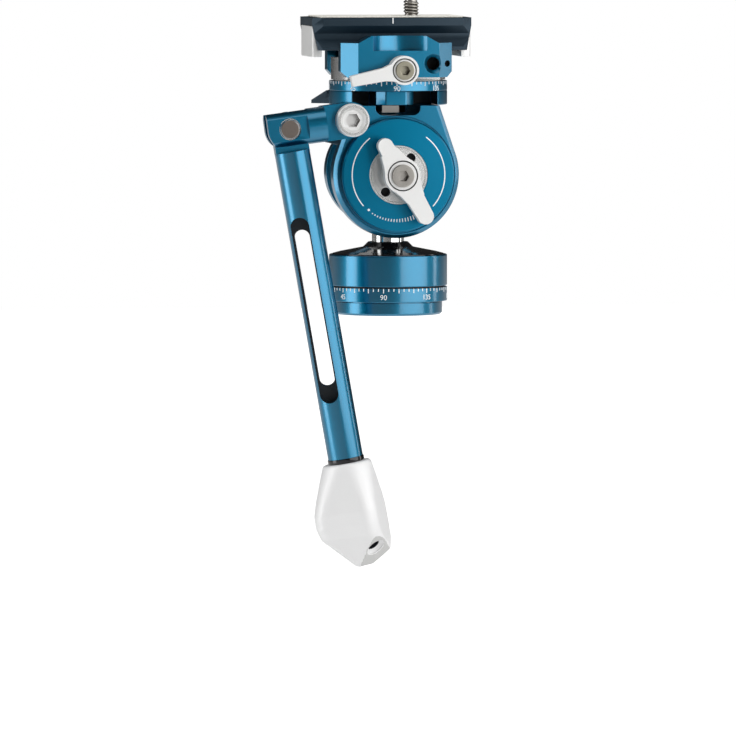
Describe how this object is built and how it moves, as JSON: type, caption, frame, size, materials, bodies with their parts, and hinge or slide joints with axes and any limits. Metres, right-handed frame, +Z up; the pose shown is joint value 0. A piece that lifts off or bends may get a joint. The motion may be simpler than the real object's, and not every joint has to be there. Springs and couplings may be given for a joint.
{
  "type": "hybrid tripod head",
  "caption": "Blue tripod head: a lockable ball in a tilting housing between panning stages, with a lever clamp, a sliding camera plate and a folding slotted handle.",
  "frame": {"origin": "centre of the tripod socket's mouth, on the base's underside", "axes": "+Z up along the base axis, -Y the side with the lock dial and the handle, +X along the camera plate to the right as seen from the dial"},
  "size_m": [0.0877, 0.086, 0.2284],
  "materials": {
    "blue_anodised": "satin",
    "navy_anodised": "satin",
    "silver": "satin",
    "steel": "satin",
    "black_gloss": "gloss",
    "black_plastic": "matte",
    "brass": "satin",
    "nylon": "matte",
    "pad": "matte"
  },
  "bodies": {
    "base": {"base_flange": "blue_anodised", "base_scale_ring": "blue_anodised", "socket_bush": "steel", "pan_bearing_washer": "black_plastic", "pan_thrust_washer": "nylon", "pan_retainer": "steel", "retainer_screws": "steel"},
    "pan_stage": {"pan_ring": "blue_anodised", "collar_cap": "black_gloss", "ball_stem": "silver", "pan_brake_shoe": "brass"},
    "pan_lock": {"pan_lock_lever": "silver", "pan_lock_screw": "steel"},
    "ball_carrier": {"front_cup": "silver", "rear_cup": "silver", "cup_screws": "steel", "lock_plunger": "brass", "drag_washer": "nylon"},
    "housing": {"housing": "blue_anodised", "rear_plate": "blue_anodised", "rear_plate_screws": "steel", "lock_dial": "blue_anodised", "dial_hub": "silver", "rear_dial": "blue_anodised", "handle_bolt": "silver", "turntable_base": "blue_anodised", "top_scale_ring": "blue_anodised", "top_pan_washer": "nylon", "top_pan_shoe": "brass"},
    "ball_lock": {"ball_lock_lever": "silver", "ball_lock_screw": "steel"},
    "tilt_lock": {"tilt_lock_lever": "silver", "tilt_lock_screw": "steel"},
    "top_lock": {"top_pan_lock": "blue_anodised"},
    "arm": {"handle_arm": "blue_anodised", "fold_pin": "steel"},
    "handle": {"handle_rod": "blue_anodised", "rod_ring": "black_plastic", "handle_grip": "silver"},
    "clamp": {"clamp_body": "silver", "spindle_nut": "steel", "rear_jaw": "blue_anodised", "rear_jaw_screws": "steel", "guide_pins": "steel"},
    "jaw": {"front_jaw": "blue_anodised"},
    "clamp_lever": {"clamp_lever": "silver", "clamp_screw": "steel"},
    "plate": {"plate": "navy_anodised", "plate_pad": "pad"},
    "end_right": {"end_jaw_right": "silver", "end_rods_right": "steel"},
    "end_left": {"end_jaw_left": "silver", "end_rods_left": "steel"},
    "screw_carriage": {"screw_washer": "steel"},
    "camera_screw": {"camera_screw": "steel"}
  },
  "joints": [
    {"name": "base_pan", "type": "hinge", "parent": "base", "child": "pan_stage", "pos_m": [0, 0, 0.012], "axis": [0, 0, 1], "continuous": true},
    {"name": "pan_lock", "type": "hinge", "parent": "pan_stage", "child": "pan_lock", "pos_m": [0, 0.027, 0.0145], "axis": [0, 1, 0], "range_deg": [-30, 30]},
    {"name": "ball_roll", "type": "hinge", "parent": "pan_stage", "child": "ball_carrier", "pos_m": [0, 0, 0.0573], "axis": [1, 0, 0], "range_deg": [-10, 10]},
    {"name": "tilt", "type": "hinge", "parent": "ball_carrier", "child": "housing", "pos_m": [0, 0, 0.0573], "axis": [0, 1, 0], "range_deg": [-60, 90]},
    {"name": "ball_lock", "type": "hinge", "parent": "housing", "child": "ball_lock", "pos_m": [0, -0.03, 0.0573], "axis": [0, 1, 0], "range_deg": [0, 90]},
    {"name": "tilt_lock", "type": "hinge", "parent": "housing", "child": "tilt_lock", "pos_m": [0, 0.033, 0.0573], "axis": [0, 1, 0], "range_deg": [0, 90]},
    {"name": "top_lock", "type": "hinge", "parent": "housing", "child": "top_lock", "pos_m": [-0.016, 0.012, 0.088], "axis": [-0.8, 0.6, 0], "range_deg": [-45, 45]},
    {"name": "handle_angle", "type": "hinge", "parent": "housing", "child": "arm", "pos_m": [-0.0204, -0.028, 0.0798], "axis": [0, 1, 0], "range_deg": [-12, 56]},
    {"name": "handle_fold", "type": "hinge", "parent": "arm", "child": "handle", "pos_m": [-0.04627, -0.032, 0.07635], "axis": [0, 1, 0], "range_deg": [0, 88]},
    {"name": "top_pan", "type": "hinge", "parent": "housing", "child": "clamp", "pos_m": [0, 0, 0.088], "axis": [0, 0, 1], "continuous": true},
    {"name": "clamp_lever_turn", "type": "hinge", "parent": "jaw", "child": "clamp_lever", "pos_m": [0.0012, -0.03, 0.0997], "axis": [0, 1, 0], "range_deg": [0, 110]},
    {"name": "clamp_jaw", "type": "slide", "parent": "clamp", "child": "jaw", "axis": [0, -1, 0], "range_m": [0, 0.00245]},
    {"name": "plate_slide", "type": "slide", "parent": "clamp", "child": "plate", "axis": [1, 0, 0], "range_m": [-0.0045, 0.0065]},
    {"name": "end_right", "type": "slide", "parent": "plate", "child": "end_right", "axis": [1, 0, 0], "range_m": [0, 0.011], "stiffness_N_per_m": 150},
    {"name": "end_left", "type": "slide", "parent": "plate", "child": "end_left", "axis": [-1, 0, 0], "range_m": [0, 0.011], "stiffness_N_per_m": 150},
    {"name": "screw_slide", "type": "slide", "parent": "plate", "child": "screw_carriage", "axis": [1, 0, 0], "range_m": [-0.0214, 0.0004]},
    {"name": "camera_screw_turn", "type": "hinge", "parent": "screw_carriage", "child": "camera_screw", "pos_m": [0.0095, 0, 0.12], "axis": [0, 0, 1], "continuous": true}
  ],
  "couplings": [
    {"joint": "clamp_jaw", "follows": "clamp_lever_turn", "m_per_rad": 0.00125}
  ]
}
